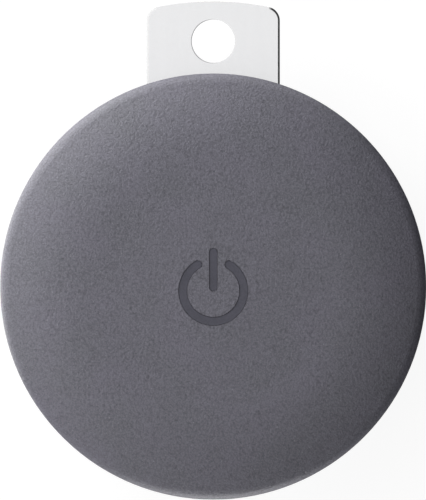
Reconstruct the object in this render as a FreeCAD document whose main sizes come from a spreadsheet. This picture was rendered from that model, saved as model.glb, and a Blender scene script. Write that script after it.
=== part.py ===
"""Round Bluetooth tracker tag: a press-to-wake front cap over a circuit board and a coin cell.

Frame, in millimetres: the origin is the centre of the flat rear face, +Z points out of the
front cap, and +Y points to where the clear battery pull tab leaves the body.
Every driving dimension is a named cell of the spreadsheet Dims, and each sub-part is an
object of the document whose sizes are bound to those cells.
"""
import FreeCAD, Part
import math
import os
import re

import Sketcher
from FreeCAD import Vector

# alias, value, what it is. Lengths are in mm and angles in degrees.
DIMENSIONS = [
    # outer form
    ("body_radius", 18.0, "radius of the tag at its widest"),
    ("body_height", 8.6, "rear face to the crown of the cap"),
    ("edge_break", 0.15, "small chamfer on the edges beside the seams"),
    ("fit_gap", 0.03, "running gap between pieces that touch in use"),
    # front cap
    ("cap_rim_level", 5.2, "lower rim of the front cap"),
    ("cap_wall", 1.0, "wall of the front cap"),
    ("crown_bend", 170.0, "radius of the nearly flat crown"),
    ("shoulder_bend", 18.0, "radius of the cap's shoulder"),
    ("rim_bend", 1.4, "radius of the cap's outline beside its rim"),
    ("cap_travel", 0.25, "how far the cap is pressed"),
    ("skirt_inner", 15.95, "press skirt that bears on the silicone ring"),
    ("skirt_outer", 16.5, "outer radius of the press skirt"),
    ("skirt_level", 5.5, "lower end of the press skirt"),
    ("presser_radius", 1.3, "post over the switch"),
    ("presser_level", 7.17, "lower end of the post over the switch"),
    # power icon, an inlay in the crown
    ("icon_radius", 2.54, "centreline radius of the broken ring"),
    ("icon_stroke", 0.68, "width of the icon's lines"),
    ("icon_gap", 31.0, "half angle of the gap in the ring, to the centre of its round end"),
    ("icon_centre", -0.315, "ring centre along Y"),
    ("bar_stroke", 0.64, "width of the bar"),
    ("bar_low", -0.34, "lower tip of the bar along Y"),
    ("bar_high", 3.23, "upper tip of the bar along Y"),
    ("icon_sink", 0.06, "how far the inlay lies below the crown"),
    ("icon_depth", 0.4, "depth of the recess that holds the inlay"),
    ("icon_room", 0.03, "gap between the inlay and the wall of its recess"),
    # cap hooks
    ("hook_inner", 14.45, "inner face of a hook's leg"),
    ("hook_outer", 15.15, "outer face of a hook's leg"),
    ("hook_width", 3.0, "width of a hook"),
    ("hook_barb", 0.5, "reach of the barb under the web"),
    ("hook_low", 3.2, "lower end of a hook"),
    ("hook_angle", 45.0, "angle of the first hook from +X"),
    # mid frame
    ("frame_top", 4.8, "top of the visible band and of the web"),
    ("frame_low", 2.6, "lower edge of the visible band"),
    ("band_inner", 16.6, "inner face of the band"),
    ("web_low", 4.0, "underside of the web"),
    ("upstand_inner", 14.9, "inner face of the upstand that guides the cap"),
    ("upstand_outer", 15.8, "outer face of the upstand"),
    ("upstand_top", 5.7, "top of the upstand"),
    ("bay_radius", 10.2, "inner radius of the cell bay"),
    ("bay_wall", 1.0, "wall of the cell bay"),
    ("bay_low", 1.4, "lower end of the bay wall"),
    ("ledge_inner", 9.2, "ledge that stops the cell"),
    ("ledge_low", 4.45, "underside of the ledge"),
    ("rib_outer", 15.2, "outer end of the stiffening ribs"),
    ("rib_thick", 0.7, "thickness of a rib"),
    ("boss_radius", 1.1, "screw boss"),
    ("screw_circle", 12.6, "radius of the circle of screws"),
    ("screw_angle", 30.0, "angle of the first screw from +X"),
    # circuit board and screws
    ("board_low", 5.3, "underside of the circuit board"),
    ("board_thick", 0.8, "thickness of the circuit board"),
    ("board_radius", 14.0, "radius of the circuit board"),
    ("screw_shank", 0.5, "radius of a screw's thread"),
    ("screw_head", 0.95, "radius of a screw's head"),
    ("screw_head_high", 0.42, "height of a screw's head"),
    ("screw_tip", 4.3, "lower end of a screw"),
    # rear cover
    ("cover_top", 2.5, "rim of the rear cover"),
    ("cover_floor", 1.0, "thickness of the rear cover"),
    ("panel_radius", 14.6, "inner edge of the groove in the rear face"),
    ("panel_groove", 0.14, "depth of that groove"),
    ("cover_round", 2.2, "rounding of the rear outer edge"),
    ("spigot_outer", 16.42, "outer face of the rear cover's spigot"),
    ("spigot_inner", 15.4, "inner face of the spigot"),
    ("spigot_top", 3.6, "top of the spigot"),
    ("snap_reach", 0.28, "how far the snap bead stands out"),
    ("snap_level", 3.25, "middle of the snap bead"),
    ("seal_radius", 17.0, "centre circle of the rear seal ring"),
    ("seal_section", 0.28, "section radius of the rear seal ring"),
    # coin cell
    ("cell_radius", 10.0, "radius of the coin cell"),
    ("cell_low", 1.3, "positive face of the coin cell"),
    ("cell_high", 4.5, "negative face of the coin cell"),
    ("cell_metal", 0.25, "sheet thickness of the can and of the cap"),
    # pull tab
    ("tab_low", 4.53, "underside of the pull tab"),
    ("tab_thick", 0.22, "thickness of the film"),
    ("tab_half", 5.64, "half width of the film"),
    ("tab_end", 24.15, "outer end of the tab along Y"),
    ("tab_bow", 23.5, "radius of the outer end"),
    ("tab_corner", 0.9, "corner radius of the outer end"),
    ("tab_root", 2.0, "where the round inner end starts, along Y"),
    ("tab_hole_radius", 1.83, "hole in the tab"),
    ("tab_hole_at", 20.78, "centre of the hole along Y"),
    ("tab_room", 0.15, "clearance around the tab in its channel"),
    # piezo sounder under the cap
    ("piezo_at", -7.2, "centre of the sounder along Y"),
    ("piezo_radius", 5.0, "brass plate"),
    ("piezo_low", 6.88, "underside of the brass plate"),
    ("piezo_thick", 0.1, "thickness of the brass plate"),
    ("ceramic_radius", 3.8, "ceramic disc"),
    ("ceramic_thick", 0.12, "thickness of the ceramic disc"),
    ("glue_thick", 0.08, "thickness of the glue ring"),
    ("seat_outer", 4.8, "seat ring moulded in the cap"),
    ("seat_inner", 4.2, "inner radius of the seat ring"),
    # switch at the centre of the board
    ("switch_side", 3.4, "side of the switch"),
    ("switch_high", 0.55, "height of the switch base"),
    ("switch_well", 1.15, "radius of the well for the snap dome"),
    ("switch_floor", 0.1, "floor of the well"),
    ("switch_plate", 0.1, "thickness of the steel frame"),
    ("stem_radius", 0.7, "radius of the stem"),
    ("stem_flange", 1.0, "radius of the stem's flange"),
]
ALIASES = {row[0] for row in DIMENSIONS}

doc = FreeCAD.newDocument("tracker_tag")
sheet = doc.addObject("Spreadsheet::Sheet", "Dims")
for row_number, (alias, number, meaning) in enumerate(DIMENSIONS, start=1):
    sheet.set(f"A{row_number}", alias)
    sheet.set(f"B{row_number}", str(number))
    sheet.set(f"C{row_number}", meaning)
    sheet.setAlias(f"B{row_number}", alias)
doc.recompute()

sub_parts = {}


# ---------------------------------------------------------------- expressions and primitives
def bound(expression):
    """The expression, with each driving dimension written as a cell of the sheet."""
    def cell(word):
        return "Dims." + word.group(0) if word.group(0) in ALIASES else word.group(0)
    return re.sub(r"[a-z][a-z_]*[a-z]", cell, str(expression))


def value(expression):
    """The number that an expression of the sheet has now."""
    found = sheet.evalExpression(bound(expression))
    return float(getattr(found, "Value", found))


def bind(thing, prop, expression):
    thing.setExpression(prop, bound(expression))


def place(thing, x="0", y="0", z="0", turn=None):
    """Puts an object at x, y, z and turns it about Z, all as expressions."""
    for axis, expression in zip("xyz", (x, y, z)):
        bind(thing, f"Placement.Base.{axis}", expression)
    if turn is not None:
        thing.Placement.Rotation = FreeCAD.Rotation(Vector(0, 0, 1), value(turn))
        bind(thing, "Placement.Rotation.Angle", f"({turn}) * 1 deg")
    return thing


def cylinder(name, radius, low, high, x="0", y="0", angle="360", turn=None):
    made = doc.addObject("Part::Cylinder", name)
    bind(made, "Radius", radius)
    bind(made, "Height", f"({high}) - ({low})")
    bind(made, "Angle", f"({angle}) * 1 deg")
    return place(made, x, y, low, turn)


def block(name, long, wide, low, high, x="0", y="0"):
    """A box centred on x, y, from one level to another."""
    made = doc.addObject("Part::Box", name)
    bind(made, "Length", long)
    bind(made, "Width", wide)
    bind(made, "Height", f"({high}) - ({low})")
    return place(made, f"({x}) - ({long}) / 2", f"({y}) - ({wide}) / 2", low)


def cut(name, base, tool):
    made = doc.addObject("Part::Cut", name)
    made.Base, made.Tool = base, tool
    return made


def fuse(name, pieces):
    made = doc.addObject("Part::MultiFuse", name)
    made.Shapes = pieces
    made.Refine = True
    return made


def group(name, pieces):
    """Separate solids that share one node."""
    made = doc.addObject("Part::Compound", name)
    made.Links = pieces
    return made


def tube(name, outer, inner, low, high, x="0", y="0"):
    return cut(name, cylinder(name + "_outer", outer, low, high, x, y),
               cylinder(name + "_inner", inner, f"({low}) - 1", f"({high}) + 1", x, y))


def sub_part(node, thing):
    """Names an object as the sub-part that is written to parts/node.step."""
    thing.Label = node
    sub_parts[node] = thing
    return thing


# ---------------------------------------------------------------- bodies, sketches and features
def new_body(name):
    return doc.addObject("PartDesign::Body", name)


def new_sketch(body, name, plane="XY_Plane", lift=None):
    made = body.newObject("Sketcher::SketchObject", name)
    made.AttachmentSupport = [(next(f for f in body.Origin.OriginFeatures if f.Role == plane), "")]
    made.MapMode = "FlatFace"
    if lift is not None:
        bind(made, "AttachmentOffset.Base.z", lift)
    return made


def pin_down(sketch, kind, *where, expression):
    """A driving constraint bound to an expression."""
    number = sketch.addConstraint(Sketcher.Constraint(kind, *where, value(expression)))
    bind(sketch, f"Constraints[{number}]", expression)


def outline(body, name, corners, plane="XZ_Plane", lift=None):
    """A closed sketch of straight lines through corners, each a pair of expressions."""
    sketch = new_sketch(body, name, plane, lift)
    at = [Vector(value(x), value(y), 0) for x, y in corners]
    count = len(corners)
    for i in range(count):
        sketch.addGeometry(Part.LineSegment(at[i], at[(i + 1) % count]), False)
    for i in range(count):
        sketch.addConstraint(Sketcher.Constraint("Coincident", i, 2, (i + 1) % count, 1))
    for i, (x, y) in enumerate(corners):
        pin_down(sketch, "DistanceX", -1, 1, i, 1, expression=x)
        pin_down(sketch, "DistanceY", -1, 1, i, 1, expression=y)
    return sketch


def rectangle(body, name, x_low, x_high, y_low, y_high, plane="XY_Plane", lift=None):
    corners = [(x_low, y_low), (x_high, y_low), (x_high, y_high), (x_low, y_high)]
    return outline(body, name, corners, plane, lift)


def circles(body, name, radius, centres, lift):
    """A sketch of equal circles round the given centres."""
    sketch = new_sketch(body, name, "XY_Plane", lift)
    for i, (x, y) in enumerate(centres):
        middle = Vector(value(x), value(y), 0)
        sketch.addGeometry(Part.Circle(middle, Vector(0, 0, 1), value(radius)), False)
        pin_down(sketch, "Radius", i, expression=radius)
        pin_down(sketch, "DistanceX", -1, 1, i, 3, expression=x)
        pin_down(sketch, "DistanceY", -1, 1, i, 3, expression=y)
    return sketch


def revolve(body, sketch):
    made = body.newObject("PartDesign::Revolution", sketch.Name + "_turned")
    made.Profile = sketch
    made.ReferenceAxis = (sketch, ["V_Axis"])
    return made


def pad(body, sketch, length, both_sides=False):
    made = body.newObject("PartDesign::Pad", sketch.Name + "_pad")
    made.Profile = sketch
    if both_sides:
        made.SideType = "Symmetric"
    bind(made, "Length", length)
    return made


def pocket(body, sketch, depth):
    """Cuts from the sketch towards -Z, and checks that it took material away."""
    doc.recompute()
    before = body.Shape.Volume
    made = body.newObject("PartDesign::Pocket", sketch.Name + "_pocket")
    made.Profile = sketch
    bind(made, "Length", depth)
    doc.recompute()
    if body.Shape.Volume >= before - 1e-6:
        raise RuntimeError(f"{made.Name} cuts nothing")
    return made


def around(body, feature, count):
    """Repeats a feature evenly round the body's Z axis."""
    made = body.newObject("PartDesign::PolarPattern", feature.Name + "_round")
    made.Originals = [feature]
    axis = next(f for f in body.Origin.OriginFeatures if f.Role == "Z_Axis")
    made.Axis = (axis, [""])
    made.Angle = 360
    made.Occurrences = count
    body.Tip = made
    return made


def round_edges(body, radius, chosen):
    """Fillets the edges of the body's tip that the test chooses."""
    doc.recompute()
    tip = body.Tip
    names = [f"Edge{i}" for i, edge in enumerate(tip.Shape.Edges, start=1) if chosen(edge)]
    if not names:
        raise RuntimeError(f"{body.Name}: no edge to round")
    made = body.newObject("PartDesign::Fillet", body.Name + "_round")
    made.Base = (tip, names)
    bind(made, "Radius", radius)
    return made


def ring_of(radius, angle_expression):
    """The x and y of a point on a circle round Z."""
    return (f"{radius} * cos(({angle_expression}) * 1 deg)",
            f"{radius} * sin(({angle_expression}) * 1 deg)")


# ---------------------------------------------------------------- front cap and what it carries
def dome_arcs(sketch, radius, crown, inset):
    """Adds the half outline of a dome: three tangent arcs, from the rim to the crown.

    The arcs run anticlockwise: rim, shoulder and crown. Each radius is a driving dimension
    less the inset, so that the inside of the cap lies parallel to its outside.
    """
    level = "cap_rim_level + edge_break"
    radii = [f"{alias} - {inset}" for alias in ("rim_bend", "shoulder_bend", "crown_bend")]
    rim, shoulder, top = (value(expression) for expression in radii)
    rim_middle = Vector(value(radius) - rim, value(level), 0)
    top_middle = Vector(0, value(crown) - top, 0)
    # the shoulder's centre, from its distances to the other two centres
    to_rim, to_top = shoulder - rim, top - shoulder
    span = rim_middle - top_middle
    along = (to_top ** 2 - to_rim ** 2 + span.Length ** 2) / (2 * span.Length)
    across = math.sqrt(to_top ** 2 - along ** 2)
    unit = Vector(span).normalize()
    shoulder_middle = top_middle + unit * along + Vector(unit.y, -unit.x, 0) * -across
    if shoulder_middle.x < 0 or shoulder_middle.y > value(crown):
        shoulder_middle = top_middle + unit * along + Vector(unit.y, -unit.x, 0) * across
    lean_rim = math.atan2(rim_middle.y - shoulder_middle.y, rim_middle.x - shoulder_middle.x)
    lean_top = math.atan2(shoulder_middle.y - top_middle.y, shoulder_middle.x - top_middle.x)
    first = sketch.GeometryCount
    normal = Vector(0, 0, 1)
    for middle, bend, start, stop in ((rim_middle, rim, 0, lean_rim),
                                      (shoulder_middle, shoulder, lean_rim, lean_top),
                                      (top_middle, top, lean_top, math.pi / 2)):
        circle = Part.Circle(middle, normal, bend)
        sketch.addGeometry(Part.ArcOfCircle(circle, start, stop), False)
    for step in (0, 1):
        sketch.addConstraint(Sketcher.Constraint("Tangent", first + step, 2, first + step + 1, 1))
    for step, expression in enumerate(radii):
        pin_down(sketch, "Radius", first + step, expression=expression)
    pin_down(sketch, "DistanceX", -1, 1, first, 1, expression=radius)
    pin_down(sketch, "DistanceY", -1, 1, first, 1, expression=level)
    pin_down(sketch, "DistanceY", -1, 1, first, 3, expression=level)
    pin_down(sketch, "DistanceX", -1, 1, first + 2, 3, expression="0")
    pin_down(sketch, "DistanceX", -1, 1, first + 2, 2, expression="0")
    pin_down(sketch, "DistanceY", -1, 1, first + 2, 2, expression=crown)
    return first, first + 2


def cap_shell():
    """The domed shell alone, turned from its section."""
    body = new_body("shell")
    sketch = new_sketch(body, "shell_section", "XZ_Plane")
    outer_rim, outer_top = dome_arcs(sketch, "body_radius", "body_height", "0")
    inner_rim, inner_top = dome_arcs(sketch, "body_radius - cap_wall",
                                     "body_height - cap_wall", "cap_wall")
    corners = [sketch.getPoint(outer_top, 2), sketch.getPoint(inner_top, 2)]
    sketch.addGeometry(Part.LineSegment(*corners), False)
    axis_line = sketch.GeometryCount - 1
    rim_points = [
        sketch.getPoint(inner_rim, 1),
        Vector(value("body_radius - cap_wall"), value("cap_rim_level"), 0),
        Vector(value("body_radius - edge_break"), value("cap_rim_level"), 0),
        sketch.getPoint(outer_rim, 1),
    ]
    first = sketch.GeometryCount
    for i in range(3):
        sketch.addGeometry(Part.LineSegment(rim_points[i], rim_points[i + 1]), False)
    for one, one_end, other, other_end in (
            (axis_line, 1, outer_top, 2), (axis_line, 2, inner_top, 2),
            (first, 1, inner_rim, 1), (first, 2, first + 1, 1),
            (first + 1, 2, first + 2, 1), (first + 2, 2, outer_rim, 1)):
        sketch.addConstraint(Sketcher.Constraint("Coincident", one, one_end, other, other_end))
    for line, x in ((first, "body_radius - cap_wall"), (first + 1, "body_radius - edge_break")):
        pin_down(sketch, "DistanceX", -1, 1, line, 2, expression=x)
        pin_down(sketch, "DistanceY", -1, 1, line, 2, expression="cap_rim_level")
    revolve(body, sketch)
    return body


def icon_prism(name, low, high, room="0"):
    """The power icon as a prism: a broken ring with round ends, and a bar with round ends."""
    half = f"(icon_stroke / 2 + {room})"
    sector = cylinder(name + "_disc", f"icon_radius + {half}", low, high, y="icon_centre",
                      angle="360 - 2 * icon_gap", turn="90 + icon_gap")
    bore = cylinder(name + "_bore", f"icon_radius - {half}", f"({low}) - 1", f"({high}) + 1",
                    y="icon_centre")
    pieces = [cut(name + "_sector", sector, bore)]
    for side in (-1, 1):
        pieces.append(cylinder(f"{name}_end", half, low, high,
                               x=f"{side} * icon_radius * sin(icon_gap * 1 deg)",
                               y="icon_centre + icon_radius * cos(icon_gap * 1 deg)"))
    bar_half = f"(bar_stroke / 2 + {room})"
    pieces.append(block(name + "_bar", f"2 * {bar_half}", "bar_high - bar_low - bar_stroke",
                        low, high, y="(bar_high + bar_low) / 2"))
    for end, y in (("low", "bar_low + bar_stroke / 2"), ("high", "bar_high - bar_stroke / 2")):
        pieces.append(cylinder(f"{name}_bar_{end}", bar_half, low, high, y=y))
    return fuse(name, pieces)


def cap_hooks():
    """Four hooks that reach through the web of the frame and hold the cap on."""
    body = new_body("cap_hooks")
    barb_top = "web_low - fit_gap"
    section = outline(body, "hook_section", [
        ("hook_inner", "7"), ("hook_inner", barb_top), ("hook_inner - hook_barb", barb_top),
        ("hook_inner - hook_barb", "web_low - 0.25"), ("hook_inner", "hook_low"),
        ("hook_outer", "hook_low"), ("hook_outer", "7"),
    ])
    around(body, pad(body, section, "hook_width", both_sides=True), 4)
    return place(body, turn="hook_angle")


def front_cap():
    into_shell = "body_height - cap_wall + 0.3"
    moulded = fuse("cap_moulded", [
        cap_shell(),
        tube("press_skirt", "skirt_outer", "skirt_inner", "skirt_level", "skirt_level + 1"),
        cylinder("presser", "presser_radius", "presser_level", into_shell),
        tube("piezo_seat", "seat_outer", "seat_inner",
             "piezo_low + piezo_thick + glue_thick", "7.75", y="piezo_at"),
        cap_hooks(),
    ])
    recess = icon_prism("icon_recess", "body_height - icon_depth", "body_height + 1",
                        room="icon_room")
    sub_part("front_cap", cut("cap", moulded, recess))


def power_icon():
    sub_part("power_icon", icon_prism("icon", "body_height - icon_depth",
                                      "body_height - icon_sink"))


def piezo_sounder():
    plate_top = "piezo_low + piezo_thick"
    sub_part("piezo_plate", cylinder("brass_plate", "piezo_radius", "piezo_low", plate_top,
                                     y="piezo_at"))
    sub_part("piezo_ceramic", cylinder("ceramic", "ceramic_radius",
                                       "piezo_low - ceramic_thick", "piezo_low", y="piezo_at"))
    sub_part("piezo_glue_ring", tube("glue", "seat_outer", "seat_inner", plate_top,
                                     f"{plate_top} + glue_thick", y="piezo_at"))


# ---------------------------------------------------------------- mid frame
def mid_frame():
    body = new_body("frame")
    bay_outer = "bay_radius + bay_wall"
    revolve(body, outline(body, "frame_section", [
        ("bay_radius", "bay_low"), (bay_outer, "bay_low"), (bay_outer, "web_low"),
        ("band_inner", "web_low"),
        # groove for the rear cover's snap bead
        ("band_inner", "snap_level + 0.3"), ("band_inner + 0.2", "snap_level + 0.15"),
        ("band_inner + 0.2", "snap_level - 0.15"), ("band_inner", "snap_level - 0.3"),
        ("band_inner", "frame_low"),
        # the band that shows between the cap and the rear cover
        ("body_radius - edge_break", "frame_low"), ("body_radius", "frame_low + edge_break"),
        ("body_radius", "frame_top - edge_break"), ("body_radius - edge_break", "frame_top"),
        ("upstand_outer", "frame_top"), ("upstand_outer", "upstand_top"),
        ("upstand_inner", "upstand_top"), ("upstand_inner", "frame_top"),
        ("ledge_inner", "frame_top"), ("ledge_inner", "ledge_low"), ("bay_radius", "ledge_low"),
    ]))
    rib = rectangle(body, "rib", f"{bay_outer} - 0.2", "rib_outer",
                    "-rib_thick / 2", "rib_thick / 2", lift="frame_low")
    around(body, pad(body, rib, "web_low - frame_low"), 12)
    first_screw = [ring_of("screw_circle", "screw_angle")]
    boss = circles(body, "boss", "boss_radius", first_screw, lift="frame_top")
    around(body, pad(body, boss, "board_low - frame_top"), 3)
    pilot = circles(body, "pilot", "screw_shank", first_screw, lift="board_low")
    around(body, pocket(body, pilot, "board_low - screw_tip + 0.2"), 3)
    slot_angle = "hook_angle * 1 deg"
    near, far = "hook_inner - 0.15", "hook_outer + 0.15"
    half = "hook_width / 2 + 0.2"
    corners = []
    for along, across in ((near, f"-({half})"), (far, f"-({half})"), (far, half), (near, half)):
        corners.append((f"({along}) * cos({slot_angle}) - ({across}) * sin({slot_angle})",
                        f"({along}) * sin({slot_angle}) + ({across}) * cos({slot_angle})"))
    slot = outline(body, "hook_slot", corners, plane="XY_Plane", lift="upstand_top")
    around(body, pocket(body, slot, "upstand_top - web_low"), 4)
    channel = rectangle(body, "tab_channel", "-tab_half - tab_room", "tab_half + tab_room",
                        "ledge_inner - 3", "body_radius + 1", lift="frame_top")
    pocket(body, channel, "frame_top - tab_low + fit_gap")
    window = rectangle(body, "contact_window", "bay_radius - 0.3", f"{bay_outer} + 0.4",
                       "-1.5", "1.5", lift="frame_top")
    pocket(body, window, "frame_top - bay_low")
    sub_part("mid_frame", body)


def cap_spring_ring():
    """Silicone ring between the frame and the cap's press skirt: it pushes the cap back out."""
    sub_part("cap_spring_ring", tube("silicone", "skirt_outer", "skirt_inner",
                                     "frame_top", "skirt_level"))


# ---------------------------------------------------------------- rear cover and what it carries
def rear_cover():
    body = new_body("cover")
    groove_low = "seal_radius - seal_section - 0.03"
    groove_high = "seal_radius + seal_section + 0.03"
    groove_floor = "cover_top - 2 * seal_section + 0.06"
    revolve(body, outline(body, "cover_section", [
        ("0", "0"),
        # shallow groove that frames the flat of the rear face
        ("panel_radius", "0"), ("panel_radius + 0.1", "panel_groove"),
        ("panel_radius + 0.35", "panel_groove"), ("panel_radius + 0.45", "0"),
        ("body_radius", "0"), ("body_radius", "cover_top - edge_break"),
        ("body_radius - edge_break", "cover_top"),
        (groove_high, "cover_top"), (groove_high, groove_floor),
        (groove_low, groove_floor), (groove_low, "cover_top"),
        ("spigot_outer", "cover_top"), ("spigot_outer", "snap_level - 0.2"),
        ("spigot_outer + snap_reach", "snap_level - 0.05"),
        ("spigot_outer + snap_reach", "snap_level + 0.05"),
        ("spigot_outer", "snap_level + 0.2"), ("spigot_outer", "spigot_top - 0.1"),
        ("spigot_outer - 0.1", "spigot_top"), ("spigot_inner", "spigot_top"),
        ("spigot_inner", "cover_floor"),
        # low ring that stiffens the floor under the bay wall
        ("12.2", "cover_floor"), ("12.2", "cover_floor + 0.3"), ("11.4", "cover_floor + 0.3"),
        ("11.4", "cover_floor"), ("0", "cover_floor"),
    ]))
    round_edges(body, "cover_round", lambda edge: abs(edge.BoundBox.ZMax) < 1e-3
                and edge.BoundBox.XLength > 1.9 * value("body_radius"))
    # nick for a finger nail, opposite the pull tab
    nick = rectangle(body, "nail_nick", "-3", "3", "-body_radius - 1", "-body_radius + 0.6",
                     lift="cover_top")
    pocket(body, nick, "0.6")
    # arrow moulded into the rear face, pointing at the nick
    arrow = outline(body, "arrow", [("-0.9", "-12.6"), ("0", "-14.1"), ("0.9", "-12.6")],
                    plane="XY_Plane", lift="0.12")
    pocket(body, arrow, "1")
    sub_part("rear_cover", body)


def rear_seal_ring():
    ring = doc.addObject("Part::Torus", "seal_torus")
    bind(ring, "Radius1", "seal_radius")
    bind(ring, "Radius2", "seal_section")
    place(ring, z="cover_top - seal_section + 0.06")
    sub_part("rear_seal_ring", ring)


def cell_pad():
    """Foam disc on the rear cover that keeps the cell pressed into its bay."""
    sub_part("cell_pad", cylinder("foam", "7", "cover_floor", "cell_low - fit_gap"))


# ---------------------------------------------------------------- coin cell
def coin_cell():
    wall = "cell_metal"
    can = new_body("can")
    revolve(can, outline(can, "can_section", [
        ("0", "cell_low"), ("cell_radius - 0.3", "cell_low"), ("cell_radius", "cell_low + 0.3"),
        ("cell_radius", "cell_high - 0.35"), ("cell_radius - 0.3", "cell_high - 0.08"),
        ("8.95", "cell_high - 0.08"), ("8.95", "cell_high - 0.3"),
        ("9.55", "cell_high - 0.33"), (f"cell_radius - {wall}", "cell_high - 0.55"),
        (f"cell_radius - {wall}", f"cell_low + {wall}"), ("0", f"cell_low + {wall}"),
    ]))
    sub_part("coin_cell_can", can)
    gasket = new_body("gasket")
    revolve(gasket, outline(gasket, "gasket_section", [
        ("8.95", "cell_high - 0.08"), ("8.7", "cell_high - 0.08"), ("8.7", "cell_high - 0.55"),
        ("9.45", "cell_high - 0.7"), ("9.45", "cell_low + 0.4"),
        (f"cell_radius - {wall}", "cell_low + 0.4"),
        (f"cell_radius - {wall}", "cell_high - 0.55"), ("9.55", "cell_high - 0.33"),
        ("8.95", "cell_high - 0.3"),
    ]))
    sub_part("coin_cell_gasket", gasket)
    lid = new_body("lid")
    revolve(lid, outline(lid, "lid_section", [
        ("0", "cell_high"), ("8.35", "cell_high"), ("8.6", "cell_high - 0.2"),
        ("8.7", "cell_high - 0.55"), ("9.45", "cell_high - 0.7"), ("9.45", "cell_low + 0.6"),
        (f"9.45 - {wall}", "cell_low + 0.6"), (f"9.45 - {wall}", "cell_high - 0.9"),
        ("8.45", "cell_high - 0.75"), ("8.3", f"cell_high - {wall}"),
        ("0", f"cell_high - {wall}"),
    ]))
    sub_part("coin_cell_lid", lid)
    core = new_body("core")
    revolve(core, outline(core, "core_section", [
        ("0", f"cell_low + {wall}"), ("9.15", f"cell_low + {wall}"),
        ("9.15", "cell_high - 0.95"), ("8.25", "cell_high - 0.8"),
        ("8.15", f"cell_high - {wall}"), ("0", f"cell_high - {wall}"),
    ]))
    sub_part("coin_cell_core", core)


# ---------------------------------------------------------------- pull tab
def pull_tab():
    body = new_body("tab")
    sketch = new_sketch(body, "tab_outline", "XY_Plane", "tab_low")
    shoulder = "tab_end - tab_bow + sqrt(tab_bow ^ 2 - tab_half ^ 2)"
    half, root, top = value("tab_half"), value("tab_root"), value(shoulder)
    bow, up = value("tab_bow"), Vector(0, 0, 1)
    lean = math.asin(half / bow)
    left, right, outer_end, inner_end = 0, 1, 2, 3
    sketch.addGeometry(Part.LineSegment(Vector(-half, root, 0), Vector(-half, top, 0)), False)
    sketch.addGeometry(Part.LineSegment(Vector(half, root, 0), Vector(half, top, 0)), False)
    sketch.addGeometry(Part.ArcOfCircle(
        Part.Circle(Vector(0, value("tab_end") - bow, 0), up, bow),
        math.pi / 2 - lean, math.pi / 2 + lean), False)
    sketch.addGeometry(Part.ArcOfCircle(
        Part.Circle(Vector(0, root, 0), up, half), math.pi, 2 * math.pi), False)
    for line, side in ((left, "-tab_half"), (right, "tab_half")):
        pin_down(sketch, "DistanceX", -1, 1, line, 1, expression=side)
        pin_down(sketch, "DistanceY", -1, 1, line, 1, expression="tab_root")
        pin_down(sketch, "DistanceX", -1, 1, line, 2, expression=side)
        pin_down(sketch, "DistanceY", -1, 1, line, 2, expression=shoulder)
    for one, one_end, other, other_end in ((outer_end, 1, right, 2), (outer_end, 2, left, 2),
                                           (inner_end, 1, left, 1), (inner_end, 2, right, 1)):
        sketch.addConstraint(Sketcher.Constraint("Coincident", one, one_end, other, other_end))
    pin_down(sketch, "Radius", outer_end, expression="tab_bow")
    pad(body, sketch, "tab_thick")
    hole = circles(body, "tab_hole", "tab_hole_radius", [("0", "tab_hole_at")],
                   lift="tab_low + tab_thick")
    pocket(body, hole, "tab_thick")
    round_edges(body, "tab_corner", lambda edge: edge.BoundBox.ZLength > 0.1
                and edge.BoundBox.YLength < 1e-3 and edge.BoundBox.YMin > 20
                and abs(edge.BoundBox.XMin) > 5)
    sub_part("pull_tab", body)


# ---------------------------------------------------------------- circuit board
def main_board():
    body = new_body("board")
    disc = circles(body, "board_disc", "board_radius", [("0", "0")], lift="board_low")
    pad(body, disc, "board_thick")
    hole = circles(body, "screw_hole", "screw_shank + 0.15",
                   [ring_of("screw_circle", "screw_angle")], lift="board_low + board_thick")
    around(body, pocket(body, hole, "board_thick"), 3)
    # flat that keys the board to the frame
    flat = rectangle(body, "key_flat", "-4", "4", "board_radius - 0.5", "board_radius + 1",
                     lift="board_low + board_thick")
    pocket(body, flat, "board_thick")
    sub_part("main_board", body)


def board_screw(number):
    """A small pan-head screw with a cross recess, on its place round the board."""
    body = new_body(f"screw{number}")
    seat = "board_low + board_thick"
    revolve(body, outline(body, f"screw{number}_section", [
        ("0", "screw_tip"), ("screw_shank - 0.25", "screw_tip"),
        ("screw_shank", "screw_tip + 0.3"), ("screw_shank", seat), ("screw_head", seat),
        ("screw_head", f"{seat} + screw_head_high - 0.15"),
        ("screw_head - 0.15", f"{seat} + screw_head_high"), ("0", f"{seat} + screw_head_high"),
    ]))
    for long, wide in (("0.55", "0.1"), ("0.1", "0.55")):
        arm = rectangle(body, f"screw{number}_cross", f"-{long}", long, f"-{wide}", wide,
                        lift=f"{seat} + screw_head_high")
        pocket(body, arm, "0.25")
    x, y = ring_of("screw_circle", f"screw_angle + {number} * 120")
    return place(body, x, y, turn=f"{number} * 25")


def chip(node, long, wide, high, x, y):
    board_top = "board_low + board_thick"
    sub_part(node, block(node + "_block", long, wide, board_top, f"{board_top} + {high}", x, y))


def scattered(node, long, wide, high, places):
    """Equal small chips on the board. A place is x, y and whether the chip is turned."""
    board_top = "board_low + board_thick"
    chips = []
    for number, (x, y, turned) in enumerate(places):
        sides = (wide, long) if turned else (long, wide)
        chips.append(block(f"{node}_{number}", *sides, board_top, f"{board_top} + {high}", x, y))
    sub_part(node, group(node + "_group", chips))


def driver_transistor():
    """Three-legged transistor that drives the sounder."""
    board_top = "board_low + board_thick"
    case = block("transistor_case", "2.9", "1.3", f"{board_top} + 0.08", f"{board_top} + 0.78",
                 "-7.6", "-3.4")
    legs = [block(f"transistor_leg_{i}", "0.42", "0.62", board_top, f"{board_top} + 0.12", x, y)
            for i, (x, y) in enumerate((("-8.55", "-4.3"), ("-6.65", "-4.3"), ("-7.6", "-2.5")))]
    sub_part("driver_transistor", fuse("transistor", [case] + legs))


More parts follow.
